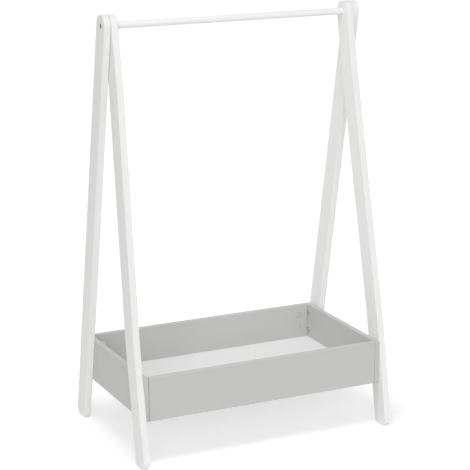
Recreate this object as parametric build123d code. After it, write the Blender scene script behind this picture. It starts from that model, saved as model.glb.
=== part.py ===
from build123d import *
import os
from math import atan2, cos, degrees, sin, tan

# Children's clothes rail: two crossed pairs of legs, a rail between the crossings and a storage
# tray between the legs. Millimetres, +Z up, +X to the right, +Y to the back. The origin is on the
# floor, midway between the four feet. Left pieces are mirror images of right ones.

# Tray
tray_width = 590.0            # over the outer faces of the side panels
tray_depth = 344.0            # over the front and back panels
tray_height = 100.0
tray_underside = 101.0        # lower edge of the panels above the floor
panel_thickness = 12.0
panel_edge_chamfer = 0.6      # sanded and lacquered arris
floor_thickness = 5.0
floor_rise = 12.0             # lower face of the floor board above the panels' lower edge
groove_depth = 6.0
groove_play = 0.2             # groove height over the floor board's thickness
floor_play = 0.5              # between the floor board's edge and the bottom of the groove

# Legs
leg_width = 48.0
leg_thickness = 15.0
leg_edge_radius = 1.0
toe_radius = 20.0             # foot's round on the side that the leg leans out to
heel_radius = 11.0            # foot's round on the other side
pivot_height = 944.0          # crossing of the legs above the floor
bend_flat = 80.0              # straight stretch of the front leg below the crossing
bend_clearance = 8.0          # straight stretch of the front leg above the tray's rim
bend_reach = 40.0             # from either end of one of the front leg's bends to its corner

# Crossing
bolt_diameter = 6.0
bolt_hole_play = 0.6          # hole over bolt, both as diameters
thread_play = 0.1             # threaded bore over bolt, both as diameters
pivot_washer_diameter = 16.0
pivot_washer_thickness = 0.8
pivot_bolt_length = 40.0
pivot_head_diameter = 10.0
pivot_head_height = 6.0
pivot_key = 5.0               # hexagon across flats
pivot_key_depth = 3.2
counterbore_play = 1.5        # counterbore over bolt head, both as diameters
counterbore_depth = 7.5
counterbore_chamfer = 0.5

# Rail
rail_diameter = 15.0
rail_wall = 1.2
rail_socket_depth = 4.0
rail_socket_play = 0.3        # socket over rail, both as diameters
rail_plug_length = 25.0
rail_plug_play = 0.1          # tube bore over plug, both as diameters

# Leg bolts and the threaded inserts that they run into
leg_bolt_spacing = 45.0
leg_bolt_inset = 19.5         # from the tray's front or back face to the middle of the leg
leg_bolt_engagement = 8.0     # bolt beyond the side panel
leg_head_diameter = 12.0
leg_head_height = 2.0
leg_head_edge = 0.8           # rounding of the head's rim
leg_key = 4.0
leg_key_depth = 3.0
insert_diameter = 9.0
insert_length = 10.0
insert_play = 0.1             # hole over insert, both as diameters
insert_relief = 1.0           # hole beyond insert

# Cam connectors at the tray's corners
cam_diameter = 15.0
cam_thickness = 9.0
cam_play = 0.1                # bore over cam, both as diameters
cam_recess = 0.5              # cam below the panel's inner face
cam_distance = 24.0           # cam axis from the panel's end
cam_spacing = 32.0
cam_slot_lengths = (10.0, 5.0)
cam_slot_width = 1.8
cam_slot_depth = 2.0
cam_slot_angle = 45.0
cam_bolt_neck = 5.0
cam_bolt_head = 7.0
cam_bolt_head_length = 3.0
cam_bolt_thread = 6.0
cam_bolt_thread_length = 9.5
cam_bolt_play = 0.4           # pockets and bores over the bolt, both as diameters

# Cutting bodies run past the faces that they open
overshoot = 1.0

# Places that several pieces share
tray_half_width = tray_width / 2
tray_half_depth = tray_depth / 2
tray_rim = tray_underside + tray_height
inner_half_width = tray_half_width - panel_thickness
inner_half_depth = tray_half_depth - panel_thickness
floor_underside = tray_underside + floor_rise
groove_height = floor_thickness + groove_play
fastener_height = (floor_underside + floor_thickness + tray_rim) / 2
leg_bolt_y = tray_half_depth - leg_bolt_inset
lean = atan2(leg_bolt_y, pivot_height - fastener_height)
leg_bolt_heights = [fastener_height + side * leg_bolt_spacing / 2 for side in (-1, 1)]
cam_heights = [fastener_height + side * cam_spacing / 2 for side in (-1, 1)]
cam_x = inner_half_width - cam_distance
cam_bolt_y = tray_half_depth - panel_thickness / 2
front_leg_outer = tray_half_width - pivot_washer_thickness
front_leg_inner = front_leg_outer - leg_thickness
rail_half_length = front_leg_inner + rail_socket_depth
counterbore_floor = tray_half_width + leg_thickness - counterbore_depth
bolt_hole_radius = (bolt_diameter + bolt_hole_play) / 2
thread_bore_radius = (bolt_diameter + thread_play) / 2


def rod(radius, start, end, y=0.0, z=0.0):
    """Cylinder along X between two ends, given in either order."""
    across = (Align.CENTER, Align.CENTER, Align.MIN)
    return Pos(min(start, end), y, z) * Rot(0, 90, 0) * Cylinder(radius, abs(end - start), align=across)


def hexagon(across_flats, start, end, y=0.0, z=0.0):
    """Hexagonal prism along X from start to end."""
    face = Plane.YZ * RegularPolygon(across_flats / 2, 6, major_radius=False)
    return Pos(start, y, z) * extrude(face, end - start)


def turned(points, y=0.0, z=0.0):
    """Solid of revolution about a line along X, from its outline as (x, radius) points."""
    outline = make_face(Polyline(*points, close=True))
    return Pos(0, y, z) * revolve(outline, Axis.X)


def board(low, high):
    """Board between two corners, with all its arrises broken."""
    size = [b - a for a, b in zip(low, high)]
    block = Box(*size, align=(Align.MIN, Align.MIN, Align.MIN))
    return Pos(*low) * chamfer(block.edges(), panel_edge_chamfer)


def leg_outline(back):
    """Side view of a leg: round about the crossing, with a flat on the floor between two rounds.

    back is 1 for a leg that runs down to the back and -1 for one that runs down to the front.
    """
    sides = []
    for offset in (-leg_width / 2, leg_width / 2):
        top = (cos(lean) * offset, pivot_height + back * sin(lean) * offset)
        foot = (top[0] + back * tan(lean) * top[1], 0)
        sides.append((top, foot))
    shank = make_face(Polyline(sides[0][0], sides[0][1], sides[1][1], sides[1][0], close=True))
    for side, radius in ((back, toe_radius), (-back, heel_radius)):
        on_floor = shank.vertices().group_by(Axis.Y)[0].sort_by(Axis.X)
        shank = fillet(on_floor[-1] if side == 1 else on_floor[0], radius)
    return Plane.YZ * (shank + Pos(0, pivot_height) * Circle(leg_width / 2))


def bent_line(offset):
    """One side of the front leg's thickness, at an offset outwards from the board's middle.

    Local X runs outwards and local Y up the leg from the crossing. The board leaves the crossing
    straight, leans out in one long bend, and comes back in line with the tray in a second one.
    """
    upper_corner = bend_flat + bend_reach
    lower_corner = (pivot_height - tray_rim - bend_clearance) / cos(lean) - bend_reach
    run = lower_corner - upper_corner
    turn = atan2(tray_half_width - front_leg_inner, run)
    radius = bend_reach / tan(turn / 2)
    x = front_leg_inner + leg_thickness / 2 + offset
    top = Line((x, leg_width), (x, -bend_flat))
    upper = JernArc(top @ 1, (0, -1), radius - offset, degrees(turn))
    slope = Line(upper @ 1, upper @ 1 + (upper % 1) * (run / cos(turn) - 2 * bend_reach))
    lower = JernArc(slope @ 1, slope % 1, radius + offset, -degrees(turn))
    foot = Line(lower @ 1, ((lower @ 1).X, -pivot_height / cos(lean) - leg_width))
    return top + upper + slope + lower + foot


def leg_rim(leg, back):
    """Edges around a leg's two broad faces, without those that run through its thickness or width."""
    through = Vector(1, 0, 0)
    across = Vector(0, cos(lean), back * sin(lean))
    nearly_along = 0.999
    rim = []
    for edge in leg.edges():
        along = edge % 0.5
        if abs(along.dot(through)) < nearly_along and abs(along.dot(across)) < nearly_along:
            rim.append(edge)
    return rim


def with_insert_holes(leg, back):
    """The leg with two blind holes in its inner face, for the threaded inserts."""
    start = tray_half_width - overshoot
    end = tray_half_width + insert_length + insert_relief
    for height in leg_bolt_heights:
        leg -= rod((insert_diameter + insert_play) / 2, start, end, back * leg_bolt_y, height)
    return leg


def rear_leg():
    """Right rear leg: a straight board, outermost at the crossing, with the bolt head sunk in it."""
    leg = Pos(tray_half_width, 0, 0) * extrude(leg_outline(1), leg_thickness)
    leg = fillet(leg_rim(leg, 1), leg_edge_radius)
    outer = tray_half_width + leg_thickness
    radius = (pivot_head_diameter + counterbore_play) / 2
    mouth = radius + counterbore_chamfer
    bolt_hole = [
        (tray_half_width - overshoot, 0),
        (tray_half_width - overshoot, bolt_hole_radius),
        (counterbore_floor, bolt_hole_radius),
        (counterbore_floor, radius),
        (outer - counterbore_chamfer, radius),
        (outer, mouth),
        (outer + overshoot, mouth),
        (outer + overshoot, 0),
    ]
    leg -= turned(bolt_hole, z=pivot_height)
    return with_insert_holes(leg, 1)


def front_leg():
    """Right front leg: a board bent inwards to pass behind the rear leg, with the rail's socket."""
    side = Plane(
        origin=(0, 0, pivot_height), x_dir=(1, 0, 0), z_dir=(0, -cos(lean), sin(lean))
    )
    inner = bent_line(-leg_thickness / 2)
    outer = bent_line(leg_thickness / 2)
    ends = Line(inner @ 0, outer @ 0) + Line(inner @ 1, outer @ 1)
    strip = side * make_face(inner + outer + ends)
    leg = extrude(strip, leg_width, both=True) & extrude(leg_outline(-1), tray_width)
    leg = fillet(leg_rim(leg, -1), leg_edge_radius)
    leg -= rod(bolt_hole_radius, front_leg_inner, front_leg_outer + overshoot, z=pivot_height)
    socket_radius = (rail_diameter + rail_socket_play) / 2
    leg -= rod(socket_radius, front_leg_inner - overshoot, rail_half_length, z=pivot_height)
    return with_insert_holes(leg, -1)


def hanging_rail():
    """Steel tube whose ends sit in the front legs' sockets."""
    tube = rod(rail_diameter / 2, -rail_half_length, rail_half_length, z=pivot_height)
    bore = rod(rail_diameter / 2 - rail_wall, -rail_half_length, rail_half_length, z=pivot_height)
    return tube - bore


def rail_plug():
    """Threaded plug pressed into the right end of the rail."""
    radius = rail_diameter / 2 - rail_wall - rail_plug_play / 2
    start = rail_half_length - rail_plug_length
    plug = rod(radius, start, rail_half_length, z=pivot_height)
    return plug - rod(thread_bore_radius, start, rail_half_length, z=pivot_height)


def pivot_bolt():
    """Cap screw through both right legs into the rail's plug."""
    head_end = counterbore_floor + pivot_head_height
    shank = rod(bolt_diameter / 2, counterbore_floor - pivot_bolt_length, counterbore_floor, z=pivot_height)
    head = rod(pivot_head_diameter / 2, counterbore_floor, head_end, z=pivot_height)
    key = hexagon(pivot_key, head_end - pivot_key_depth, head_end + overshoot, z=pivot_height)
    return shank + head - key


def pivot_washer():
    """Washer that spaces the right legs at their crossing."""
    disc = rod(pivot_washer_diameter / 2, front_leg_outer, tray_half_width, z=pivot_height)
    return disc - rod(bolt_hole_radius, front_leg_outer, tray_half_width, z=pivot_height)


def long_panel(back):
    """Front or back panel, between the side panels: cam bores, bolt bores and the floor's groove."""
    faces = sorted([back * tray_half_depth, back * inner_half_depth])
    inner = back * inner_half_depth
    low = (-inner_half_width, faces[0], tray_underside)
    high = (inner_half_width, faces[1], tray_rim)
    panel = board(low, high)
    on_floor = (Align.CENTER, Align.CENTER, Align.MIN)
    panel -= Pos(0, inner, floor_underside) * Box(tray_width, 2 * groove_depth, groove_height, align=on_floor)
    cam_bore = Rot(90, 0, 0) * Cylinder((cam_diameter + cam_play) / 2, 2 * (cam_thickness + cam_recess))
    bolt_bore = (cam_bolt_head + cam_bolt_play) / 2
    for side in (-1, 1):
        for height in cam_heights:
            panel -= Pos(side * cam_x, inner, height) * cam_bore
            panel -= rod(bolt_bore, side * cam_x, side * tray_half_width, back * cam_bolt_y, height)
    return panel


def side_panel():
    """Right side panel, full depth: holes for leg bolts and cam bolts, and the floor's stopped groove."""
    low = (inner_half_width, -tray_half_depth, tray_underside)
    high = (tray_half_width, tray_half_depth, tray_rim)
    panel = board(low, high)
    start = inner_half_width - overshoot
    slot = Plane.YZ * SlotCenterToCenter(2 * (inner_half_depth + groove_depth), groove_height)
    groove = Pos(start, 0, floor_underside + groove_height / 2) * extrude(slot, groove_depth + overshoot)
    panel -= groove
    cam_bolt_hole = (cam_bolt_thread + thread_play) / 2
    for back in (-1, 1):
        for z in leg_bolt_heights:
            panel -= rod(bolt_hole_radius, start, tray_half_width + overshoot, back * leg_bolt_y, z)
        for z in cam_heights:
            end = inner_half_width + cam_bolt_thread_length
            panel -= rod(cam_bolt_hole, start, end, back * cam_bolt_y, z)
    return panel


def floor_board():
    """Thin board held in the four panels' grooves."""
    length = 2 * (inner_half_width + groove_depth - floor_play)
    depth = 2 * (inner_half_depth + groove_depth - floor_play)
    on_floor = (Align.CENTER, Align.CENTER, Align.MIN)
    return Pos(0, 0, floor_underside) * Box(length, depth, floor_thickness, align=on_floor)


def leg_bolts(back):
    """Two flat-headed bolts from inside the tray, through the right side panel into one leg."""
    head_start = inner_half_width - leg_head_height
    head_radius = leg_head_diameter / 2
    tip = tray_half_width + leg_bolt_engagement
    outline = [
        (head_start, 0),
        (head_start, head_radius - leg_head_edge),
        (head_start + leg_head_edge, head_radius),
        (inner_half_width, head_radius),
        (inner_half_width, bolt_diameter / 2),
        (tip, bolt_diameter / 2),
        (tip, 0),
    ]
    bolts = []
    for z in leg_bolt_heights:
        key = hexagon(leg_key, head_start - overshoot, head_start + leg_key_depth, back * leg_bolt_y, z)
        bolts.append(turned(outline, back * leg_bolt_y, z) - key)
    return bolts


def leg_inserts(back):
    """Two threaded inserts in the inner face of one right leg."""
    end = tray_half_width + insert_length
    inserts = []
    for z in leg_bolt_heights:
        sleeve = rod(insert_diameter / 2, tray_half_width, end, back * leg_bolt_y, z)
        inserts.append(sleeve - rod(thread_bore_radius, tray_half_width, end, back * leg_bolt_y, z))
    return inserts


def cam_discs(back):
    """Two cam discs of one right corner, open towards the bolt and slotted for a screwdriver."""
    pocket = (cam_bolt_head + cam_bolt_play) / 2
    face = back * (inner_half_depth + cam_recess)
    middle = face + back * cam_thickness / 2
    discs = []
    for z in cam_heights:
        disc = Pos(cam_x, middle, z) * Rot(90, 0, 0) * Cylinder(cam_diameter / 2, cam_thickness)
        disc -= rod(pocket, cam_x - pocket, cam_x + cam_diameter, back * cam_bolt_y, z)
        for turn, length in enumerate(cam_slot_lengths):
            slot = Rot(0, cam_slot_angle + 90 * turn, 0) * Box(length, 2 * cam_slot_depth, cam_slot_width)
            disc -= Pos(cam_x, face, z) * slot
        discs.append(disc)
    return discs


def cam_bolts(back):
    """Two cam bolts of one right corner: thread in the side panel, neck and head in the cam."""
    head_start = cam_x - cam_bolt_head_length / 2
    head_end = cam_x + cam_bolt_head_length / 2
    tip = inner_half_width + cam_bolt_thread_length
    outline = [
        (head_start, 0),
        (head_start, cam_bolt_head / 2),
        (head_end, cam_bolt_head / 2),
        (head_end, cam_bolt_neck / 2),
        (inner_half_width, cam_bolt_neck / 2),
        (inner_half_width, cam_bolt_thread / 2),
        (tip, cam_bolt_thread / 2),
        (tip, 0),
    ]
    return [turned(outline, back * cam_bolt_y, z) for z in cam_heights]


def right_hand_nodes():
    """The named pieces that the object has once on each side, as lists of shapes on the right."""
    nodes = {
        "rear_leg": [rear_leg()],
        "front_leg": [front_leg()],
        "side_panel": [side_panel()],
        "rail_plug": [rail_plug()],
        "pivot_bolt": [pivot_bolt()],
        "pivot_washer": [pivot_washer()],
    }
    for place, back in (("front", -1), ("rear", 1)):
        nodes[f"{place}_leg_bolts"] = leg_bolts(back)
        nodes[f"{place}_leg_inserts"] = leg_inserts(back)
        nodes[f"{place}_cam_bolts"] = cam_bolts(back)
        nodes[f"{place}_cam_discs"] = cam_discs(back)
    return nodes


def all_nodes():
    """Every named piece as a list of shapes."""
    nodes = {
        "hanging_rail": [hanging_rail()],
        "front_panel": [long_panel(-1)],
        "back_panel": [long_panel(1)],
        "floor_panel": [floor_board()],
    }
    for name, shapes in right_hand_nodes().items():
        nodes[f"{name}_right"] = shapes
        nodes[f"{name}_left"] = [mirror(shape, about=Plane.YZ) for shape in shapes]
    return nodes


os.makedirs("parts", exist_ok=True)
for name, shapes in all_nodes().items():
    solids = [solid for shape in shapes for solid in shape.solids()]
    whole = solids[0] if len(solids) == 1 else Compound(solids)
    export_step(whole, f"parts/{name}.step")
    print(name, len(solids), round(whole.volume))
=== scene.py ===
"""Looks of a children's clothes rail with a storage tray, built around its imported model.

Everything is in metres in the model's own frame: +Z up, +X to the right, +Y to the back, and the
origin on the floor between the four feet. Sizes that belong to a piece are written in millimetres.
Each right-hand piece is built in place, and its left-hand twin is its mirror image.
"""

import logging
import math
from dataclasses import dataclass, field
from enum import Enum
from typing import Any, Iterable, Optional, Sequence

import bmesh
import bpy
from mathutils import Matrix, Vector


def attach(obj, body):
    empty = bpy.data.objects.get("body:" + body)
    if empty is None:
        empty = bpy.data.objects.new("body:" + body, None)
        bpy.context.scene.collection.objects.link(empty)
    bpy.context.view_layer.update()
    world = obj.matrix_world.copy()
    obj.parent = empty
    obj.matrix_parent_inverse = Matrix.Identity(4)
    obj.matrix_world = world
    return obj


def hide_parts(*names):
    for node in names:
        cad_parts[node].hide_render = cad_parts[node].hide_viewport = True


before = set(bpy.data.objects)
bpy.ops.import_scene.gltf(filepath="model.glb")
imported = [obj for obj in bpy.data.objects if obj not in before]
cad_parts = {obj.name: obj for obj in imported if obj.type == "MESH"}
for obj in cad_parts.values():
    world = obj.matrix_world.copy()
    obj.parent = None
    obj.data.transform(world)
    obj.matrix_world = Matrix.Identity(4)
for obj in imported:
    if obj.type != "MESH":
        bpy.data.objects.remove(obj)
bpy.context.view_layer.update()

ROOT_BODY = "root"
MM = 0.001
SMOOTH_BELOW = math.radians(32)
AREA_WEIGHT = 100
BOARD_PLACE = "board_place"
BLACK = (0.0, 0.0, 0.0, 1.0)
WHITE = (1.0, 1.0, 1.0, 1.0)
MATHS = "ShaderNodeMath"
LOG = logging.getLogger("clothes_rail")

Point = tuple[float, float]
Modifier = tuple[str, dict[str, Any]]


class Hand(Enum):
    """The side of the rail that a piece is on, as the sign of its X."""

    LEFT = -1
    RIGHT = 1

    @property
    def word(self) -> str:
        """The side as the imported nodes' names have it."""
        return self.name.lower()


class Lean(Enum):
    """Where a leg runs as it goes down from the crossing, as the sign of its Y."""

    FRONT = -1
    REAR = 1

    @property
    def word(self) -> str:
        """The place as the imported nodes' names have it."""
        return self.name.lower()


class Sheen(Enum):
    """Gloss grades of sprayed coats, as the roughness of the shader."""

    MATT = 0.62
    SATIN = 0.42


def linear(colour: str, alpha: float = 1.0) -> tuple[float, float, float, float]:
    """Turns an sRGB hex colour into the linear values that shaders take.

    Args:
        colour: Six hex digits after a hash sign.
        alpha: The fourth value.

    Returns:
        Red, green, blue and alpha.
    """
    values = []
    for start in (1, 3, 5):
        share = int(colour[start:start + 2], 16) / 255
        values.append(share / 12.92 if share <= 0.04045 else ((share + 0.055) / 1.055) ** 2.4)
    return (values[0], values[1], values[2], alpha)


def add_node(
    tree: bpy.types.NodeTree,
    kind: str,
    inputs: Optional[dict[Any, Any]] = None,
    **settings: Any,
) -> bpy.types.Node:
    """Adds a node, sets its properties and fills or links its inputs.

    Args:
        tree: The tree that gets the node.
        kind: The node's type.
        inputs: What each input gets, by its name or index: a value, an output socket, a node whose
            first output is meant, or a list of sockets for an input that takes several.
        **settings: Properties of the node.

    Returns:
        The new node.
    """
    node = tree.nodes.new(kind)
    for name, value in settings.items():
        setattr(node, name, value)
    for key, value in (inputs or {}).items():
        for source in value if isinstance(value, list) else [value]:
            if isinstance(source, bpy.types.Node):
                source = source.outputs[0]
            if isinstance(source, bpy.types.NodeSocket):
                tree.links.new(source, node.inputs[key])
            else:
                node.inputs[key].default_value = source
    return node


def blank_material(name: str) -> bpy.types.Material:
    """Makes a material with an empty node tree.

    Args:
        name: The finish's common name.

    Returns:
        The material.
    """
    material = bpy.data.materials.new(name)
    material.use_nodes = True
    material.node_tree.nodes.clear()
    return material


def shown_share(tree: bpy.types.NodeTree) -> bpy.types.Node:
    """Tells what is seen, directly or in metal or glass, from what only gives light.

    Args:
        tree: The tree of the surround or of a piece of the stage.

    Returns:
        A node that gives 1 to camera, glossy and transmission rays and 0 to others.
    """
    path = add_node(tree, "ShaderNodeLightPath").outputs
    seen = add_node(tree, MATHS, {0: path["Is Camera Ray"], 1: path["Is Glossy Ray"]}, operation="MAXIMUM")
    return add_node(tree, MATHS, {0: seen, 1: path["Is Transmission Ray"]}, operation="MAXIMUM")


def evaluated(mesh: bpy.types.Mesh, modifiers: Iterable[Modifier]) -> bpy.types.Mesh:
    """Runs modifiers on a mesh.

    Args:
        mesh: The mesh, which is left as it is.
        modifiers: Kinds of modifier with their properties, or with the inputs of a node group.

    Returns:
        The result as a plain mesh.
    """
    scene = bpy.context.scene
    carrier = bpy.data.objects.new("carrier", mesh)
    scene.collection.objects.link(carrier)
    for kind, settings in modifiers:
        modifier = carrier.modifiers.new(kind.lower(), kind)
        for name, value in settings.items():
            if name.startswith("Socket_"):
                modifier[name] = value
            else:
                setattr(modifier, name, value)
    graph = bpy.context.evaluated_depsgraph_get()
    result = bpy.data.meshes.new_from_object(
        carrier.evaluated_get(graph), preserve_all_data_layers=True, depsgraph=graph
    )
    bpy.data.objects.remove(carrier)
    return result


def carved(mesh: bpy.types.Mesh, tool: bpy.types.Mesh) -> bpy.types.Mesh:
    """Cuts a closed tool out of a closed mesh.

    Args:
        mesh: The mesh to cut.
        tool: What is taken away.

    Returns:
        The cut mesh.
    """
    cutter = bpy.data.objects.new("cutter", tool)
    bpy.context.scene.collection.objects.link(cutter)
    settings = {"operation": "DIFFERENCE", "solver": "EXACT", "object": cutter}
    result = evaluated(mesh, [("BOOLEAN", settings)])
    bpy.data.objects.remove(cutter)
    return result


def shaded(mesh: bpy.types.Mesh) -> bpy.types.Mesh:
    """Smooths the roundings of a mesh and keeps its broad faces flat to the eye.

    Args:
        mesh: The mesh.

    Returns:
        The mesh with its normals set.
    """
    mesh.shade_smooth()
    mesh.set_sharp_from_angle(angle=SMOOTH_BELOW)
    settings = {"mode": "FACE_AREA", "weight": AREA_WEIGHT, "keep_sharp": True}
    return evaluated(mesh, [("WEIGHTED_NORMAL", settings)])


def mirrored(mesh: bpy.types.Mesh, hand: Hand) -> bpy.types.Mesh:
    """Turns a right-hand mesh into the one for a hand.

    Args:
        mesh: The right-hand mesh.
        hand: The side that it is for.

    Returns:
        The same mesh for the right, or its mirror image with its faces turned outwards again.
    """
    if hand is Hand.LEFT:
        mesh.transform(Matrix.Diagonal((-1.0, 1.0, 1.0, 1.0)))
        mesh.flip_normals()
    return mesh


def place(name: str, mesh: bpy.types.Mesh, material: bpy.types.Material, node: str, slot: str) -> None:
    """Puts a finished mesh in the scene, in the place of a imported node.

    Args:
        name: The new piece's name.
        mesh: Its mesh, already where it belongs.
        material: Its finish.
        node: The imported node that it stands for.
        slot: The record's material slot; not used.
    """
    mesh.materials.clear()
    mesh.materials.append(material)
    piece = bpy.data.objects.new(name, mesh)
    bpy.context.scene.collection.objects.link(piece)
    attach(piece, ROOT_BODY)
    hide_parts(node)
    LOG.info("%s: %d faces, %s, for %s", name, len(mesh.polygons), material.name, node)


def dress_node(node: str, material: bpy.types.Material) -> None:
    """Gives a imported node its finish.

    Args:
        node: The node's name.
        material: Its finish.
    """
    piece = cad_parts[node]
    piece.data.materials.clear()
    piece.data.materials.append(material)
    LOG.info("%s keeps its packed shape and gets %s", node, material.name)


def turned_shape(
    outlines: Sequence[Sequence[Point]], centres: Sequence[Point], segments: int
) -> bpy.types.Mesh:
    """Turns outlines about lines along X.

    Args:
        outlines: For each line, (x, radius) points in millimetres in order round the cut face. A
            radius of 0 is a pole.
        centres: The lines' places, as (y, z) in millimetres.
        segments: Steps in a turn.

    Returns:
        One mesh with a closed shell for each line.
    """
    work = bmesh.new()
    for outline, (y, z) in zip(outlines, centres):
        rings = []
        for x, radius in outline:
            if radius == 0:
                rings.append([work.verts.new((x * MM, y * MM, z * MM))] * segments)
                continue
            ring = []
            for step in range(segments):
                angle = 2 * math.pi * step / segments
                spot = (x, y + radius * math.cos(angle), z + radius * math.sin(angle))
                ring.append(work.verts.new(Vector(spot) * MM))
            rings.append(ring)
        for here, there in zip(rings, rings[1:] + rings[:1]):
            for step in range(segments):
                following = (step + 1) % segments
                corners = dict.fromkeys((here[step], here[following], there[following], there[step]))
                if len(corners) > 2:
                    work.faces.new(list(corners))
    bmesh.ops.recalc_face_normals(work, faces=work.faces)
    mesh = bpy.data.meshes.new("turned")
    work.to_mesh(mesh)
    work.free()
    return mesh


@dataclass(frozen=True)
class SprayedCoat:
    """Lacquer, foil or powder coat: one even colour, with the fine orange peel of its making.

    The peel breaks up the highlight a little, and the colour drifts by a hair from place to place,
    as film thickness does. Over wood the grain still shows, as long shallow lines along the board.
    The peel of a real coat is about a millimetre wide, and it is drawn about twice as coarse so
    that it shows. Where a board that runs across the object ends on another, the shade in the seam
    between them is painted on the outer face as a fine dark line, drawn a millimetre wide, which is
    wider than the seam, so that it shows.
    """

    name: str
    colour: str
    thin_colour: str
    sheen: Sheen
    peel_mm: float = 2.2
    peel_height_mm: float = 0.012
    drift_mm: float = 90.0
    gloss_drift: float = 0.04
    grain_mm: float = 0.0
    grain_height_mm: float = 0.018
    grain_stretch: float = 28.0
    joint_x_mm: float = 0.0
    joint_y_mm: float = 165.0
    joint_width_mm: float = 1.0
    joint_fill: float = 0.98
    joint_shade: float = 0.42
    index: float = 1.48

    def material(self) -> bpy.types.Material:
        """Builds the coat's shader.

        Returns:
            The material.
        """
        material = blank_material(self.name)
        tree = material.node_tree
        if self.grain_mm:
            place_on = add_node(tree, "ShaderNodeAttribute", attribute_name=BOARD_PLACE).outputs["Vector"]
        else:
            place_on = add_node(tree, "ShaderNodeTexCoord").outputs["Object"]
        drift = add_node(
            tree, "ShaderNodeTexNoise",
            {"Vector": place_on, "Scale": 1 / (self.drift_mm * MM), "Detail": 3.0, "Roughness": 0.45},
        )
        tone = add_node(
            tree, "ShaderNodeMix",
            {0: drift.outputs["Fac"], "A": linear(self.thin_colour), "B": linear(self.colour)},
            data_type="RGBA",
        )
        # Painted shade: the seams at the boards' outer ends are drawn as a fine dark line.
        if self.joint_x_mm:
            tone = self.joint(tree, place_on, tone)
        peel = add_node(
            tree, "ShaderNodeTexNoise",
            {"Vector": place_on, "Scale": 1 / (self.peel_mm * MM), "Detail": 1.5, "Roughness": 0.4},
        )
        relief = add_node(
            tree, "ShaderNodeBump",
            {"Height": peel.outputs["Fac"], "Strength": 1.0, "Distance": self.peel_height_mm * MM},
        )
        if self.grain_mm:
            relief = self.grain(tree, place_on, relief)
        gloss = add_node(
            tree, "ShaderNodeMapRange",
            {
                "Value": drift.outputs["Fac"],
                "To Min": self.sheen.value + self.gloss_drift,
                "To Max": self.sheen.value - self.gloss_drift,
            },
        )
        shader = add_node(
            tree, "ShaderNodeBsdfPrincipled",
            {
                "Base Color": tone.outputs["Result"],
                "Roughness": gloss.outputs["Result"],
                "IOR": self.index,
                "Normal": relief.outputs["Normal"],
            },
        )
        add_node(tree, "ShaderNodeOutputMaterial", {"Surface": shader.outputs["BSDF"]})
        return material

    def joint(
        self, tree: bpy.types.NodeTree, place_on: bpy.types.NodeSocket, tone: bpy.types.Node
    ) -> bpy.types.Node:
        """Paints the seams' shade as a fine dark line at the outer ends of the boards that run across the
        object.

        Args:
            tree: The material's tree.
            place_on: The object's coordinates.
            tone: The colour so far.

        Returns:
            The colour with the line in it.
        """
        half = self.joint_width_mm / 2
        place = add_node(tree, "ShaderNodeSeparateXYZ", {0: place_on}).outputs
        across = add_node(tree, MATHS, {0: place["X"]}, operation="ABSOLUTE")
        depth = add_node(tree, MATHS, {0: place["Y"]}, operation="ABSOLUTE")
        outside = add_node(tree, MATHS, {0: depth, 1: self.joint_y_mm * MM}, operation="GREATER_THAN")
        painted_seam_band = add_node(
            tree, MATHS,
            {0: across, 1: (self.joint_x_mm - half) * MM, 2: half * self.joint_fill * MM},
            operation="COMPARE",
        )
        # The seam's painted shade: inside this band the colour is mixed part way to black.
        line = add_node(tree, MATHS, {0: painted_seam_band, 1: outside}, operation="MULTIPLY")
        plain = tone.outputs["Result"]
        dark = add_node(
            tree, "ShaderNodeMix", {0: self.joint_shade, "A": BLACK, "B": plain}, data_type="RGBA"
        )
        return add_node(
            tree, "ShaderNodeMix", {0: line, "A": plain, "B": dark.outputs["Result"]}, data_type="RGBA"
        )

    def grain(
        self, tree: bpy.types.NodeTree, place_on: bpy.types.NodeSocket, relief: bpy.types.Node
    ) -> bpy.types.Node:
        """Adds the wood's grain under the coat.

        Args:
            tree: The material's tree.
            place_on: The board's own coordinates, whose third runs along it.
            relief: The bump so far.

        Returns:
            The bump with the grain on it.
        """
        drawn = add_node(
            tree, "ShaderNodeMapping", {"Vector": place_on, "Scale": (1.0, 1.0, 1 / self.grain_stretch)}
        )
        lines = add_node(
            tree, "ShaderNodeTexNoise",
            {"Vector": drawn.outputs["Vector"], "Scale": 1 / (self.grain_mm * MM), "Detail": 4.0},
        )
        return add_node(
            tree, "ShaderNodeBump",
            {
                "Height": lines.outputs["Fac"],
                "Strength": 1.0,
                "Distance": self.grain_height_mm * MM,
                "Normal": relief.outputs["Normal"],
            },
        )


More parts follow.
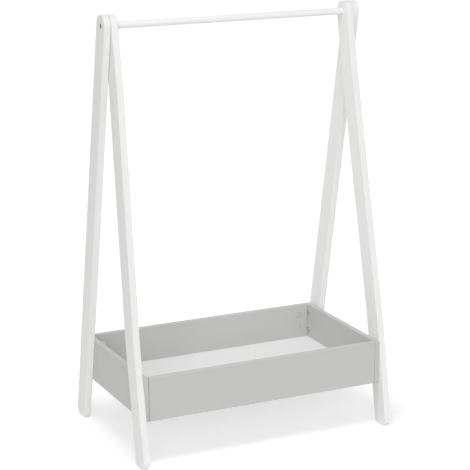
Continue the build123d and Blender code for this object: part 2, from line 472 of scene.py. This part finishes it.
@dataclass(frozen=True)
class PlatedMetal:
    """Zinc plate on steel, bright or dark grey, or a zinc casting: a soft gleam, clouded by its making.

    The fine pits of the surface are drawn at half a millimetre, coarser than they are, to show.
    """

    name: str
    colour: str
    dull_colour: str
    roughness: float
    cloud_mm: float = 3.0
    pit_mm: float = 0.5
    pit_height_mm: float = 0.010
    gloss_drift: float = 0.08

    def material(self) -> bpy.types.Material:
        """Builds the metal's shader.

        Returns:
            The material.
        """
        material = blank_material(self.name)
        tree = material.node_tree
        place_on = add_node(tree, "ShaderNodeTexCoord").outputs["Object"]
        cloud = add_node(
            tree, "ShaderNodeTexNoise",
            {"Vector": place_on, "Scale": 1 / (self.cloud_mm * MM), "Detail": 3.0},
        )
        tone = add_node(
            tree, "ShaderNodeMix",
            {0: cloud.outputs["Fac"], "A": linear(self.dull_colour), "B": linear(self.colour)},
            data_type="RGBA",
        )
        gloss = add_node(
            tree, "ShaderNodeMapRange",
            {
                "Value": cloud.outputs["Fac"],
                "To Min": self.roughness + self.gloss_drift,
                "To Max": self.roughness - self.gloss_drift,
            },
        )
        pits = add_node(
            tree, "ShaderNodeTexNoise",
            {"Vector": place_on, "Scale": 1 / (self.pit_mm * MM), "Detail": 2.0},
        )
        relief = add_node(
            tree, "ShaderNodeBump",
            {"Height": pits.outputs["Fac"], "Strength": 1.0, "Distance": self.pit_height_mm * MM},
        )
        shader = add_node(
            tree, "ShaderNodeBsdfPrincipled",
            {
                "Base Color": tone.outputs["Result"],
                "Metallic": 1.0,
                "Roughness": gloss.outputs["Result"],
                "Normal": relief.outputs["Normal"],
            },
        )
        add_node(tree, "ShaderNodeOutputMaterial", {"Surface": shader.outputs["BSDF"]})
        return material


class Finishes:
    """The object's materials, each built once."""

    def __init__(self) -> None:
        """Builds every material."""
        # Sprayed satin white with the grain's long lines just showing through.
        self.legs = SprayedCoat(
            "white_lacquer_on_beech", "#F0F0EF", "#ECECEB", Sheen.SATIN, grain_mm=1.6
        ).material()
        # Even light grey with a soft shine, and painted seam shade as a fine dark line at the tray's outer
        # joints.
        self.panels = SprayedCoat(
            "grey_lacquer_on_fibreboard", "#C5C5C4", "#C2C2C1", Sheen.SATIN, joint_x_mm=283.0
        ).material()
        # Flat white without shine, as foil on a thin board has it.
        self.floor = SprayedCoat("white_foil_on_fibreboard", "#F1F1F1", "#EEEEEE", Sheen.MATT).material()
        # White with a finer peel than lacquer, on the steel tube.
        self.rail = SprayedCoat(
            "white_powder_coat", "#F1F1F1", "#EEEEEE", Sheen.SATIN, peel_mm=1.2
        ).material()
        # Bright and slightly cloudy, on the bolts, inserts, washers and plugs.
        self.plate = PlatedMetal("zinc_plated_steel", "#D2D3D4", "#BCBDBE", 0.40).material()
        # Lighter and duller than plate, on the cam discs.
        self.casting = PlatedMetal("zinc_casting", "#E8E9EA", "#D6D7D8", 0.50).material()
        # Dark, so that the pivot bolts' sunk heads read as the dark dots of the photograph.
        self.blackened = PlatedMetal("black_zinc_steel", "#4A4B4C", "#343536", 0.40).material()


class HeadTree:
    """A Geometry Nodes tree that makes a row of round heads with a rounded rim and a cut drive."""

    rim_steps = 6
    sides = 48

    def __init__(self, name: str, sizes: dict[str, float], count: int = 2) -> None:
        """Makes the tree with its inputs.

        Args:
            name: The tree's name.
            sizes: Inputs in metres or radians, with their first values.
            count: First value of the number of heads in the row.
        """
        self.tree = bpy.data.node_groups.new(name, "GeometryNodeTree")
        face = self.tree.interface
        face.new_socket("Geometry", in_out="INPUT", socket_type="NodeSocketGeometry")
        self.identifiers: dict[str, str] = {}
        for label, value in sizes.items():
            socket = face.new_socket(label, in_out="INPUT", socket_type="NodeSocketFloat")
            socket.default_value = value
            self.identifiers[label] = socket.identifier
        socket = face.new_socket("Count", in_out="INPUT", socket_type="NodeSocketInt")
        socket.default_value = count
        self.identifiers["Count"] = socket.identifier
        socket = face.new_socket("Finish", in_out="INPUT", socket_type="NodeSocketMaterial")
        self.identifiers["Finish"] = socket.identifier
        face.new_socket("Geometry", in_out="OUTPUT", socket_type="NodeSocketGeometry")
        self.given = self.tree.nodes.new("NodeGroupInput").outputs

    def rounded_disc(self) -> bpy.types.NodeSocket:
        """Makes a disc on the plane z = 0 whose upper rim is a quarter round.

        The cylinder's rings stand at equal steps of height. The lowest stays, and the others go to
        equal steps of angle round the rim.

        Returns:
            The disc's geometry.
        """
        tree, height, edge = self.tree, self.given["Height"], self.given["Edge Radius"]
        radius = add_node(tree, MATHS, {0: self.given["Diameter"], 1: 0.5}, operation="MULTIPLY")
        disc = add_node(
            tree, "GeometryNodeMeshCylinder",
            {"Vertices": self.sides, "Side Segments": self.rim_steps, "Radius": radius, "Depth": height},
        )
        spot = add_node(tree, "GeometryNodeInputPosition")
        place = add_node(tree, "ShaderNodeSeparateXYZ", {0: spot}).outputs
        part = add_node(tree, MATHS, {0: place["Z"], 1: height}, operation="DIVIDE")
        share = add_node(tree, MATHS, {0: part, 1: 0.5}, operation="ADD")
        angle = add_node(
            tree, "ShaderNodeMapRange",
            {"Value": share, "From Min": 1 / self.rim_steps, "From Max": 1.0, "To Max": math.pi / 2},
        )
        sine = add_node(tree, MATHS, {0: angle}, operation="SINE")
        cosine = add_node(tree, MATHS, {0: angle}, operation="COSINE")
        shoulder = add_node(tree, MATHS, {0: height, 1: edge}, operation="SUBTRACT")
        rise = add_node(tree, MATHS, {0: edge, 1: sine, 2: shoulder}, operation="MULTIPLY_ADD")
        lifted = add_node(tree, MATHS, {0: share, 1: 0.5 / self.rim_steps}, operation="GREATER_THAN")
        up = add_node(tree, MATHS, {0: rise, 1: lifted}, operation="MULTIPLY")
        back = add_node(tree, MATHS, {0: 1.0, 1: cosine}, operation="SUBTRACT")
        inset = add_node(tree, MATHS, {0: edge, 1: back}, operation="MULTIPLY")
        loss = add_node(tree, MATHS, {0: inset, 1: radius}, operation="DIVIDE")
        shrink = add_node(tree, MATHS, {0: 1.0, 1: loss}, operation="SUBTRACT")
        side = add_node(tree, MATHS, {0: place["X"], 1: shrink}, operation="MULTIPLY")
        front = add_node(tree, MATHS, {0: place["Y"], 1: shrink}, operation="MULTIPLY")
        position = add_node(tree, "ShaderNodeCombineXYZ", {"X": side, "Y": front, "Z": up})
        return add_node(
            tree, "GeometryNodeSetPosition", {"Geometry": disc.outputs["Mesh"], "Position": position}
        ).outputs["Geometry"]

    def moved(self, mesh: bpy.types.NodeSocket, rise: Any, turn: Any = 0.0) -> bpy.types.NodeSocket:
        """Lifts a mesh along its axis and turns it about it.

        Args:
            mesh: The mesh's geometry.
            rise: How far up.
            turn: Angle about the axis.

        Returns:
            The moved geometry.
        """
        lift = add_node(self.tree, "ShaderNodeCombineXYZ", {"Z": rise})
        spin = add_node(self.tree, "ShaderNodeCombineXYZ", {"Z": turn})
        return add_node(
            self.tree, "GeometryNodeTransform", {"Geometry": mesh, "Translation": lift, "Rotation": spin}
        ).outputs["Geometry"]

    def row(self, head: bpy.types.NodeSocket) -> None:
        """Repeats the head in a row along Y about the middle, and ends the tree.

        Args:
            head: One head's geometry.
        """
        spacing = self.given["Spacing"]
        gaps = add_node(self.tree, MATHS, {0: self.given["Count"], 1: 1.0}, operation="SUBTRACT")
        length = add_node(self.tree, MATHS, {0: gaps, 1: spacing}, operation="MULTIPLY")
        start = add_node(self.tree, MATHS, {0: length, 1: -0.5}, operation="MULTIPLY")
        first = add_node(self.tree, "ShaderNodeCombineXYZ", {"Y": start})
        step = add_node(self.tree, "ShaderNodeCombineXYZ", {"Y": spacing})
        line = add_node(
            self.tree, "GeometryNodeMeshLine",
            {"Count": self.given["Count"], "Start Location": first, "Offset": step}, mode="OFFSET",
        )
        copies = add_node(
            self.tree, "GeometryNodeInstanceOnPoints", {"Points": line.outputs["Mesh"], "Instance": head}
        )
        real = add_node(self.tree, "GeometryNodeRealizeInstances", {"Geometry": copies.outputs["Instances"]})
        finished = add_node(
            self.tree, "GeometryNodeSetMaterial",
            {"Geometry": real.outputs["Geometry"], "Material": self.given["Finish"]},
        )
        add_node(self.tree, "NodeGroupOutput", {0: finished.outputs["Geometry"]})

    def made(self, finish: bpy.types.Material, to_place: Matrix, **inputs: Any) -> bpy.types.Mesh:
        """Runs the tree.

        Args:
            finish: The heads' material.
            to_place: Where the row's middle, its axis Z and its line Y go.
            **inputs: Values for the tree's inputs, with underscores for spaces.

        Returns:
            The row as one plain mesh.
        """
        values = {"Finish": finish, **{name.replace("_", " "): value for name, value in inputs.items()}}
        settings = {self.identifiers[name]: value for name, value in values.items()}
        settings = {"node_group": self.tree, **settings}
        mesh = evaluated(bpy.data.meshes.new("row"), [("NODES", settings)])
        mesh.transform(to_place)
        return mesh


class BoltTree(HeadTree):
    """Bolts with a round head, a hexagon socket and a plain shank that bites into the head."""

    shank_sides = 32
    bite = 0.5 * MM

    def __init__(self) -> None:
        """Builds the tree."""
        sizes = {
            "Diameter": 12 * MM, "Height": 2 * MM, "Edge Radius": 0.8 * MM, "Key Width": 4 * MM,
            "Key Depth": 3 * MM, "Shank Diameter": 6 * MM, "Shank Length": 20 * MM, "Spacing": 45 * MM,
        }
        super().__init__("socket_head_bolts", sizes)
        tree, given = self.tree, self.given
        radius = add_node(tree, MATHS, {0: given["Shank Diameter"], 1: 0.5}, operation="MULTIPLY")
        length = add_node(tree, MATHS, {0: given["Shank Length"], 1: self.bite}, operation="ADD")
        shank = add_node(
            tree, "GeometryNodeMeshCylinder",
            {"Vertices": self.shank_sides, "Radius": radius, "Depth": length},
        ).outputs["Mesh"]
        reach = add_node(tree, MATHS, {0: given["Shank Length"], 1: self.bite}, operation="SUBTRACT")
        drop = add_node(tree, MATHS, {0: reach, 1: -0.5}, operation="MULTIPLY")
        bolt = add_node(
            tree, "GeometryNodeMeshBoolean", {1: [self.rounded_disc(), self.moved(shank, drop)]},
            operation="UNION", solver="EXACT",
        )
        corner = add_node(tree, MATHS, {0: given["Key Width"], 1: math.sqrt(3)}, operation="DIVIDE")
        deep = add_node(tree, MATHS, {0: given["Key Depth"], 1: 2.0}, operation="MULTIPLY")
        key = add_node(
            tree, "GeometryNodeMeshCylinder", {"Vertices": 6, "Radius": corner, "Depth": deep}
        ).outputs["Mesh"]
        cut = add_node(
            tree, "GeometryNodeMeshBoolean", {0: bolt, 1: self.moved(key, given["Height"])},
            operation="DIFFERENCE", solver="EXACT",
        )
        self.row(cut.outputs["Mesh"])


class CamTree(HeadTree):
    """Cam connectors' discs, with a screwdriver cross whose one arm is longer."""

    def __init__(self) -> None:
        """Builds the tree."""
        sizes = {
            "Diameter": 15 * MM, "Height": 9 * MM, "Edge Radius": 0.5 * MM, "Long Slot": 10 * MM,
            "Short Slot": 5 * MM, "Slot Width": 1.8 * MM, "Slot Depth": 2 * MM, "Slot Angle": math.pi / 4,
            "Spacing": 32 * MM,
        }
        super().__init__("cam_discs", sizes)
        tree, given = self.tree, self.given
        deep = add_node(tree, MATHS, {0: given["Slot Depth"], 1: 2.0}, operation="MULTIPLY")
        cross = []
        for across, along in (("Long Slot", "Slot Width"), ("Slot Width", "Short Slot")):
            size = add_node(
                tree, "ShaderNodeCombineXYZ", {"X": given[across], "Y": given[along], "Z": deep}
            )
            block = add_node(tree, "GeometryNodeMeshCube", {"Size": size}).outputs["Mesh"]
            cross.append(self.moved(block, given["Height"], given["Slot Angle"]))
        cut = add_node(
            tree, "GeometryNodeMeshBoolean", {0: self.rounded_disc(), 1: cross},
            operation="DIFFERENCE", solver="EXACT",
        )
        self.row(cut.outputs["Mesh"])


@dataclass
class Legs:
    """One crossed pair of legs with the pivot bolt through the crossing, in millimetres.

    The straight sides have a station every station_step, and end straight_end short of the floor,
    above the foot's two rounds.
    """

    hand: Hand
    width: float = 48.0
    thickness: float = 15.0
    edge_radius: float = 1.0
    toe_radius: float = 20.0
    heel_radius: float = 11.0
    pivot_height: float = 944.0
    bolt_y: float = 152.5
    bolt_heights: tuple[float, float] = (137.0, 182.0)
    tray_face: float = 295.0
    tray_rim: float = 201.0
    washer: float = 0.8
    bend_flat: float = 80.0
    bend_clearance: float = 8.0
    bend_reach: float = 40.0
    bolt_hole: float = 3.3
    counterbore: float = 5.75
    counterbore_depth: float = 7.5
    counterbore_chamfer: float = 0.5
    socket: float = 7.65
    socket_depth: float = 4.0
    insert_hole: float = 4.55
    insert_depth: float = 11.0
    head_diameter: float = 10.0
    head_height: float = 6.0
    head_edge: float = 0.8
    key_width: float = 5.0
    key_depth: float = 3.2
    shank_length: float = 40.0
    overshoot: float = 1.0
    straight_end: float = 40.0
    station_step: float = 12.0
    top_steps: int = 16
    foot_steps: int = 10
    edge_steps: int = 4
    hole_segments: int = 40

    @property
    def lean(self) -> float:
        """The legs' angle from upright, in radians."""
        return math.atan2(self.bolt_y, self.pivot_height - sum(self.bolt_heights) / 2)

    def up(self, lean: Lean) -> Vector:
        """The direction up a leg, as (y, z)."""
        return Vector((-lean.value * math.sin(self.lean), math.cos(self.lean)))

    def side(self, lean: Lean, sign: int, stations: Sequence[float]) -> list[tuple[Vector, Vector]]:
        """Runs down one side of a leg's outline, from beside its top to the floor.

        Args:
            lean: Which of the pair the leg is.
            sign: The side, as the sign of Y.
            stations: Distances below the crossing of the points on the straight part.

        Returns:
            Points and outward normals as (y, z).
        """
        up = self.up(lean)
        out = Vector((math.cos(self.lean), lean.value * math.sin(self.lean))) * sign
        pivot = Vector((0.0, self.pivot_height))
        points = []
        for step in range(1, self.top_steps):
            angle = math.pi / 2 * step / self.top_steps
            normal = up * math.cos(angle) + out * math.sin(angle)
            points.append((pivot + normal * self.width / 2, normal))
        points += [(pivot - up * down + out * self.width / 2, out) for down in stations]
        radius = self.toe_radius if sign == lean.value else self.heel_radius
        line = lean.value * (self.pivot_height - radius) * math.tan(self.lean)
        line += sign * (self.width / 2 - radius) / math.cos(self.lean)
        start = math.atan2(out.y, out.x) if sign == 1 else math.atan2(out.y, -out.x)
        for step in range(self.foot_steps + 1):
            angle = start + (-math.pi / 2 - start) * step / self.foot_steps
            normal = Vector((sign * math.cos(angle), math.sin(angle)))
            points.append((Vector((line, radius)) + normal * radius, normal))
        return points

    def bend(self, down: float) -> float:
        """Finds the front leg's middle at a distance below the crossing.

        The leg leaves the crossing straight, leans out in a long bend and comes back in line with
        the tray in a second one. The first bend's lower half is drawn as the straight slope that
        follows it, which is 0.3 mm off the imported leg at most.

        Args:
            down: The distance down the leg.

        Returns:
            The middle's X.
        """
        top = self.tray_face - self.washer - self.thickness / 2
        foot = self.tray_face + self.thickness / 2
        corner = self.bend_flat + self.bend_reach
        drop = (self.pivot_height - self.tray_rim - self.bend_clearance) / math.cos(self.lean)
        turn = math.atan2(foot - top, drop - self.bend_reach - corner)
        radius = self.bend_reach / math.tan(turn / 2)
        if down < corner:
            into = max(down - self.bend_flat, 0.0)
            return top + radius - math.sqrt(radius ** 2 - into ** 2)
        if drop - down < radius * math.sin(turn):
            short = max(drop - down, 0.0)
            return foot - radius + math.sqrt(radius ** 2 - short ** 2)
        return top + (down - corner) * math.tan(turn)

    def board(self, lean: Lean) -> bpy.types.Mesh:
        """Builds a leg without its holes.

        Args:
            lean: Which of the pair it is.

        Returns:
            A closed mesh with rounded arrises.
        """
        length = self.pivot_height / math.cos(self.lean) - self.straight_end
        steps = round(length / self.station_step)
        stations = [length * step / steps for step in range(steps + 1)]
        right, left = (self.side(lean, sign, stations) for sign in (1, -1))
        top = (Vector((0.0, self.pivot_height)) + self.up(lean) * self.width / 2, self.up(lean))
        outline = [top] + right + left[::-1]
        half = self.thickness / 2
        quarter = [math.pi / 2 * step / self.edge_steps for step in range(self.edge_steps + 1)]
        rims = [(-half + self.edge_radius * (1 - math.sin(a)), 1 - math.cos(a)) for a in quarter[::-1]]
        rims += [(half - self.edge_radius * (1 - math.sin(a)), 1 - math.cos(a)) for a in quarter]
        work = bmesh.new()
        rings = []
        up = self.up(lean)
        for across, inset in rims:
            ring = []
            for point, normal in outline:
                spot = point - normal * inset * self.edge_radius
                down = (Vector((0.0, self.pivot_height)) - spot).dot(up)
                middle = self.bend(down) if lean is Lean.FRONT else self.tray_face + half
                ring.append(work.verts.new(Vector((middle + across, spot.x, spot.y)) * MM))
            rings.append(ring)
        count = len(outline)
        for here, there in zip(rings, rings[1:]):
            for step in range(count):
                following = (step + 1) % count
                work.faces.new((here[step], here[following], there[following], there[step]))
        for ring in (rings[0], rings[-1]):
            work.faces.new((ring[0], ring[1], ring[-1]))
            for step in range(1, len(right)):
                work.faces.new((ring[step], ring[step + 1], ring[count - step - 1], ring[count - step]))
        bmesh.ops.recalc_face_normals(work, faces=work.faces)
        mesh = bpy.data.meshes.new("leg")
        work.to_mesh(mesh)
        work.free()
        return mesh

    def holes(self, lean: Lean) -> bpy.types.Mesh:
        """Builds what the drill takes out of a leg.

        Args:
            lean: Which of the pair it is.

        Returns:
            Closed shells for the pivot bolt's hole and for the two blind holes of the inserts.
        """
        past = self.overshoot
        inner = self.tray_face - self.washer - self.thickness
        outer = self.tray_face + self.thickness
        if lean is Lean.REAR:
            floor = outer - self.counterbore_depth
            mouth = self.counterbore + self.counterbore_chamfer
            pivot = [
                (self.tray_face - past, 0), (self.tray_face - past, self.bolt_hole), (floor, self.bolt_hole),
                (floor, self.counterbore), (outer - self.counterbore_chamfer, self.counterbore),
                (outer, mouth), (outer + past, mouth), (outer + past, 0),
            ]
        else:
            stop = inner + self.socket_depth
            end = self.tray_face - self.washer + past
            pivot = [
                (inner - past, 0), (inner - past, self.socket), (stop, self.socket),
                (stop, self.bolt_hole), (end, self.bolt_hole), (end, 0),
            ]
        start, end = self.tray_face - past, self.tray_face + self.insert_depth
        blind = [(start, 0), (start, self.insert_hole), (end, self.insert_hole), (end, 0)]
        centres = [(0.0, self.pivot_height)] + [(lean.value * self.bolt_y, z) for z in self.bolt_heights]
        return turned_shape([pivot, blind, blind], centres, self.hole_segments)

    def mark_board(self, mesh: bpy.types.Mesh, lean: Lean) -> None:
        """Writes each point's place on its own board, which the grain follows.

        Args:
            mesh: The finished leg.
            lean: Which of the pair it is.
        """
        up = self.up(lean)
        marks = mesh.attributes.new(BOARD_PLACE, "FLOAT_VECTOR", "POINT")
        for vertex, mark in zip(mesh.vertices, marks.data):
            x, y, z = vertex.co
            mark.vector = (x, y * up.y - z * up.x, y * up.x + z * up.y)

    def build(self, finishes: Finishes, bolts: BoltTree) -> None:
        """Builds and dresses the pair and what holds it together.

        Args:
            finishes: The materials.
            bolts: The tree that makes the pivot bolt.
        """
        word = self.hand.word
        for lean in Lean:
            mesh = shaded(carved(self.board(lean), self.holes(lean)))
            mesh = mirrored(mesh, self.hand)
            self.mark_board(mesh, lean)
            place(f"leg_{lean.word}_{word}", mesh, finishes.legs, f"{lean.word}_leg_{word}", "leg_lacquer")
            dress_node(f"{lean.word}_leg_inserts_{word}", finishes.plate)
        head_from = self.tray_face + self.thickness - self.counterbore_depth
        spot = Matrix.Translation(Vector((head_from, 0.0, self.pivot_height)) * MM)
        bolt = bolts.made(
            finishes.blackened, spot @ Matrix.Rotation(math.pi / 2, 4, "Y"), Count=1,
            Diameter=self.head_diameter * MM, Height=self.head_height * MM,
            Edge_Radius=self.head_edge * MM, Key_Width=self.key_width * MM,
            Key_Depth=self.key_depth * MM, Shank_Length=self.shank_length * MM,
        )
        bolt = mirrored(shaded(bolt), self.hand)
        place(f"pivot_bolt_head_{word}", bolt, finishes.blackened, f"pivot_bolt_{word}", "zinc_steel")
        dress_node(f"pivot_washer_{word}", finishes.plate)
        dress_node(f"rail_plug_{word}", finishes.plate)


@dataclass
class HangingRail:
    """The round tube between the front legs, in millimetres.

    Halfway round its end's arris, the arris is half_round of its radius short of a sharp corner.
    """

    diameter: float = 15.0
    wall: float = 1.2
    half_length: float = 283.2
    height: float = 944.0
    end_radius: float = 0.4
    half_round: float = 0.3
    segments: int = 96

    def build(self, finishes: Finishes) -> None:
        """Builds and dresses the tube.

        Args:
            finishes: The materials.
        """
        end, outer, arris = self.half_length, self.diameter / 2, self.end_radius
        half = [
            (end - arris, outer), (end - self.half_round * arris, outer - self.half_round * arris),
            (end, outer - arris), (end, outer - self.wall),
        ]
        outline = half + [(-x, radius) for x, radius in half[::-1]]
        mesh = shaded(turned_shape([outline], [(0.0, self.height)], self.segments))
        place("rail_tube", mesh, finishes.rail, "hanging_rail", "rail_enamel")


@dataclass
class Tray:
    """The open tray between the legs, with the bolts and cams that hold it together, in millimetres."""

    side_face: float = 283.0
    end_face: float = 160.0
    bolt_y: float = 152.5
    bolt_middle: float = 159.5
    head_height: float = 2.0
    cam_x: float = 259.0
    cam_recess: float = 0.5
    cam_thickness: float = 9.0

    def build(self, finishes: Finishes, bolts: BoltTree, cams: CamTree) -> None:
        """Dresses the boards, and builds and dresses the fasteners that show.

        Args:
            finishes: The materials.
            bolts: The tree that makes the leg bolts.
            cams: The tree that makes the cam discs.
        """
        for board in ("front_panel", "back_panel", "side_panel_left", "side_panel_right"):
            dress_node(board, finishes.panels)
        dress_node("floor_panel", finishes.floor)
        for hand in Hand:
            for lean in Lean:
                self.fasteners(hand, lean, finishes, bolts, cams)

    def fasteners(
        self, hand: Hand, lean: Lean, finishes: Finishes, bolts: BoltTree, cams: CamTree
    ) -> None:
        """Builds one corner's two leg bolts and two cams.

        Args:
            hand: The corner's side.
            lean: Whether it is at the front or the back.
            finishes: The materials.
            bolts: The tree that makes the leg bolts.
            cams: The tree that makes the cam discs.
        """
        corner = f"{lean.word}_{{}}_{hand.word}"
        spot = Vector((self.side_face, lean.value * self.bolt_y, self.bolt_middle)) * MM
        upright = Matrix.Rotation(math.pi / 2, 4, "X")
        inwards = Matrix.Rotation(-math.pi / 2, 4, "Z") @ upright
        heads = bolts.made(finishes.plate, Matrix.Translation(spot) @ inwards, Count=2)
        heads = mirrored(shaded(heads), hand)
        place(corner.format("bolt_heads"), heads, finishes.plate, corner.format("leg_bolts"), "zinc_steel")
        back = self.end_face + self.cam_recess + self.cam_thickness
        spot = Vector((self.cam_x, lean.value * back, self.bolt_middle)) * MM
        facing = upright if lean is Lean.REAR else Matrix.Rotation(math.pi, 4, "Z") @ upright
        discs = cams.made(
            finishes.casting, Matrix.Translation(spot) @ facing, Count=2, Height=self.cam_thickness * MM
        )
        discs = mirrored(shaded(discs), hand)
        place(corner.format("cam_faces"), discs, finishes.casting, corner.format("cam_discs"), "cam_zinc")
        dress_node(corner.format("cam_bolts"), finishes.plate)


@dataclass
class Camera:
    """The view of the photograph, found by fitting the object's edges to it."""

    eye_mm: Vector = field(default_factory=lambda: Vector((-1580.55, -3302.51, 1411.43)))
    target_mm: Vector = field(default_factory=lambda: Vector((7.56, 0.0, 447.33)))
    roll_degrees: float = -0.1
    focal_pixels: float = 1656.84
    frame_pixels: float = 470.0
    sensor_mm: float = 36.0
    reach: float = 100.0

    def build(self) -> None:
        """Makes the camera and sets it as the scene's."""
        data = bpy.data.cameras.new("photo_view")
        data.sensor_fit = "HORIZONTAL"
        data.sensor_width = self.sensor_mm
        data.lens = self.focal_pixels / self.frame_pixels * self.sensor_mm
        data.clip_end = self.reach
        camera = bpy.data.objects.new("photo_view", data)
        look = (self.target_mm - self.eye_mm).to_track_quat("-Z", "Y").to_matrix().to_4x4()
        roll = Matrix.Rotation(math.radians(self.roll_degrees), 4, "Z")
        camera.matrix_world = Matrix.Translation(self.eye_mm * MM) @ look @ roll
        bpy.context.scene.collection.objects.link(camera)
        bpy.context.scene.camera = camera


@dataclass
class Studio:
    """Pale floor, white surround, a soft key at the front left and a softbox above the left legs.

    The surround gives horizon at eye level and zenith from straight above, where 1 shows a colour as
    it is written. The key's direction points to the lamp, and its components are the light that it
    puts on faces along the axes. The floor shows itself lighter than it lights: near_lift is added to
    it up to near_reach from the object, and far_lift from far_reach on, in metres, and floor_share is
    how much of the light on it shows.
    """

    horizon: float = 0.40
    zenith: float = 0.58
    key_direction: Vector = field(default_factory=lambda: Vector((-0.13, -0.29, 0.09)))
    key_spread_degrees: float = 40.0
    box_place: Vector = field(default_factory=lambda: Vector((-0.26, -0.33, 1.50)))
    box_target: Vector = field(default_factory=lambda: Vector((0.05, 0.0, 0.45)))
    box_size: float = 0.6
    box_level: float = 0.33
    floor_size: float = 60.0
    floor_colour: str = "#FAFAFA"
    near_lift: float = 0.40
    far_lift: float = 0.50
    near_reach: float = 0.9
    far_reach: float = 3.0
    floor_share: float = 0.85

    def build(self) -> None:
        """Makes the surround, the lamps and the floor."""
        self.surround()
        self.key()
        self.softbox()
        self.floor()
        bpy.context.scene.view_settings.view_transform = "Standard"

    def surround(self) -> None:
        """Sets a white background that lights the object less than it shows."""
        world = bpy.data.worlds.new("white_surround")
        world.use_nodes = True
        tree = world.node_tree
        tree.nodes.clear()
        way = add_node(tree, "ShaderNodeTexCoord").outputs["Generated"]
        height = add_node(tree, "ShaderNodeSeparateXYZ", {0: way}).outputs["Z"]
        sky = add_node(
            tree, "ShaderNodeMapRange", {"Value": height, "To Min": self.horizon, "To Max": self.zenith}
        )
        strength = add_node(
            tree, "ShaderNodeMapRange", {"Value": shown_share(tree), "To Min": sky, "To Max": 1.0}
        )
        light = add_node(tree, "ShaderNodeBackground", {"Color": WHITE, "Strength": strength})
        add_node(tree, "ShaderNodeOutputWorld", {"Surface": light.outputs["Background"]})
        bpy.context.scene.world = world

    def key(self) -> None:
        """Hangs the lamp so that a white card facing it gets the light that its direction's length says."""
        data = bpy.data.lights.new("soft_key", "SUN")
        data.angle = math.radians(self.key_spread_degrees)
        data.energy = math.pi * self.key_direction.length
        lamp = bpy.data.objects.new("soft_key", data)
        lamp.rotation_euler = (-self.key_direction).to_track_quat("-Z", "Y").to_euler()
        bpy.context.scene.collection.objects.link(lamp)

    def softbox(self) -> None:
        """Hangs a square lamp over the left-hand legs, as bright near it as far away.

        It lights the faces that look to the left more on the right-hand side of the object, and
        the inside of the tray from above.
        """
        data = bpy.data.lights.new("softbox", "AREA")
        data.size = self.box_size
        data.energy = math.pi ** 2 * self.box_level
        data.use_nodes = True
        tree = data.node_tree
        tree.nodes.clear()
        even = add_node(tree, "ShaderNodeLightFalloff", {"Strength": 1.0})
        glow = add_node(tree, "ShaderNodeEmission", {"Strength": even.outputs["Constant"]})
        add_node(tree, "ShaderNodeOutputLight", {"Surface": glow.outputs["Emission"]})
        lamp = bpy.data.objects.new("softbox", data)
        lamp.location = self.box_place
        lamp.rotation_euler = (self.box_target - self.box_place).to_track_quat("-Z", "Y").to_euler()
        lamp.visible_camera = False
        bpy.context.scene.collection.objects.link(lamp)

    def floor(self) -> None:
        """Lays the floor, which shows white to the camera and keeps the object's shadow."""
        half = self.floor_size / 2
        mesh = bpy.data.meshes.new("studio_floor")
        corners = [(-half, -half, 0.0), (half, -half, 0.0), (half, half, 0.0), (-half, half, 0.0)]
        mesh.from_pydata(corners, [], [(0, 1, 2, 3)])
        floor = bpy.data.objects.new("studio_floor", mesh)
        bpy.context.scene.collection.objects.link(floor)
        material = blank_material("white_sweep")
        tree = material.node_tree
        shown = shown_share(tree)
        colour = linear(self.floor_colour)
        faint = tuple(value * self.floor_share for value in colour[:3]) + (1.0,)
        tone = add_node(tree, "ShaderNodeMix", {0: shown, "A": colour, "B": faint}, data_type="RGBA")
        matt = add_node(tree, "ShaderNodeBsdfDiffuse", {"Color": tone.outputs["Result"]})
        place_on = add_node(tree, "ShaderNodeTexCoord").outputs["Object"]
        reach = add_node(tree, "ShaderNodeVectorMath", {0: place_on}, operation="LENGTH").outputs["Value"]
        extra = add_node(
            tree, "ShaderNodeMapRange",
            {
                "Value": reach, "From Min": self.near_reach, "From Max": self.far_reach,
                "To Min": self.near_lift, "To Max": self.far_lift,
            },
        )
        lift = add_node(tree, MATHS, {0: shown, 1: extra}, operation="MULTIPLY")
        white = add_node(tree, "ShaderNodeEmission", {"Strength": lift})
        mixed = add_node(tree, "ShaderNodeAddShader", {0: matt.outputs["BSDF"], 1: white.outputs["Emission"]})
        add_node(tree, "ShaderNodeOutputMaterial", {"Surface": mixed.outputs["Shader"]})
        mesh.materials.append(material)


def main() -> None:
    """Builds the studio, then the object's sub-assemblies in order."""
    logging.basicConfig(level=logging.INFO, format="%(message)s")
    Camera().build()
    Studio().build()
    finishes = Finishes()
    bolts, cams = BoltTree(), CamTree()
    for hand in Hand:
        Legs(hand).build(finishes, bolts)
    HangingRail().build(finishes)
    Tray().build(finishes, bolts, cams)


if __name__ == "__main__":
    main()
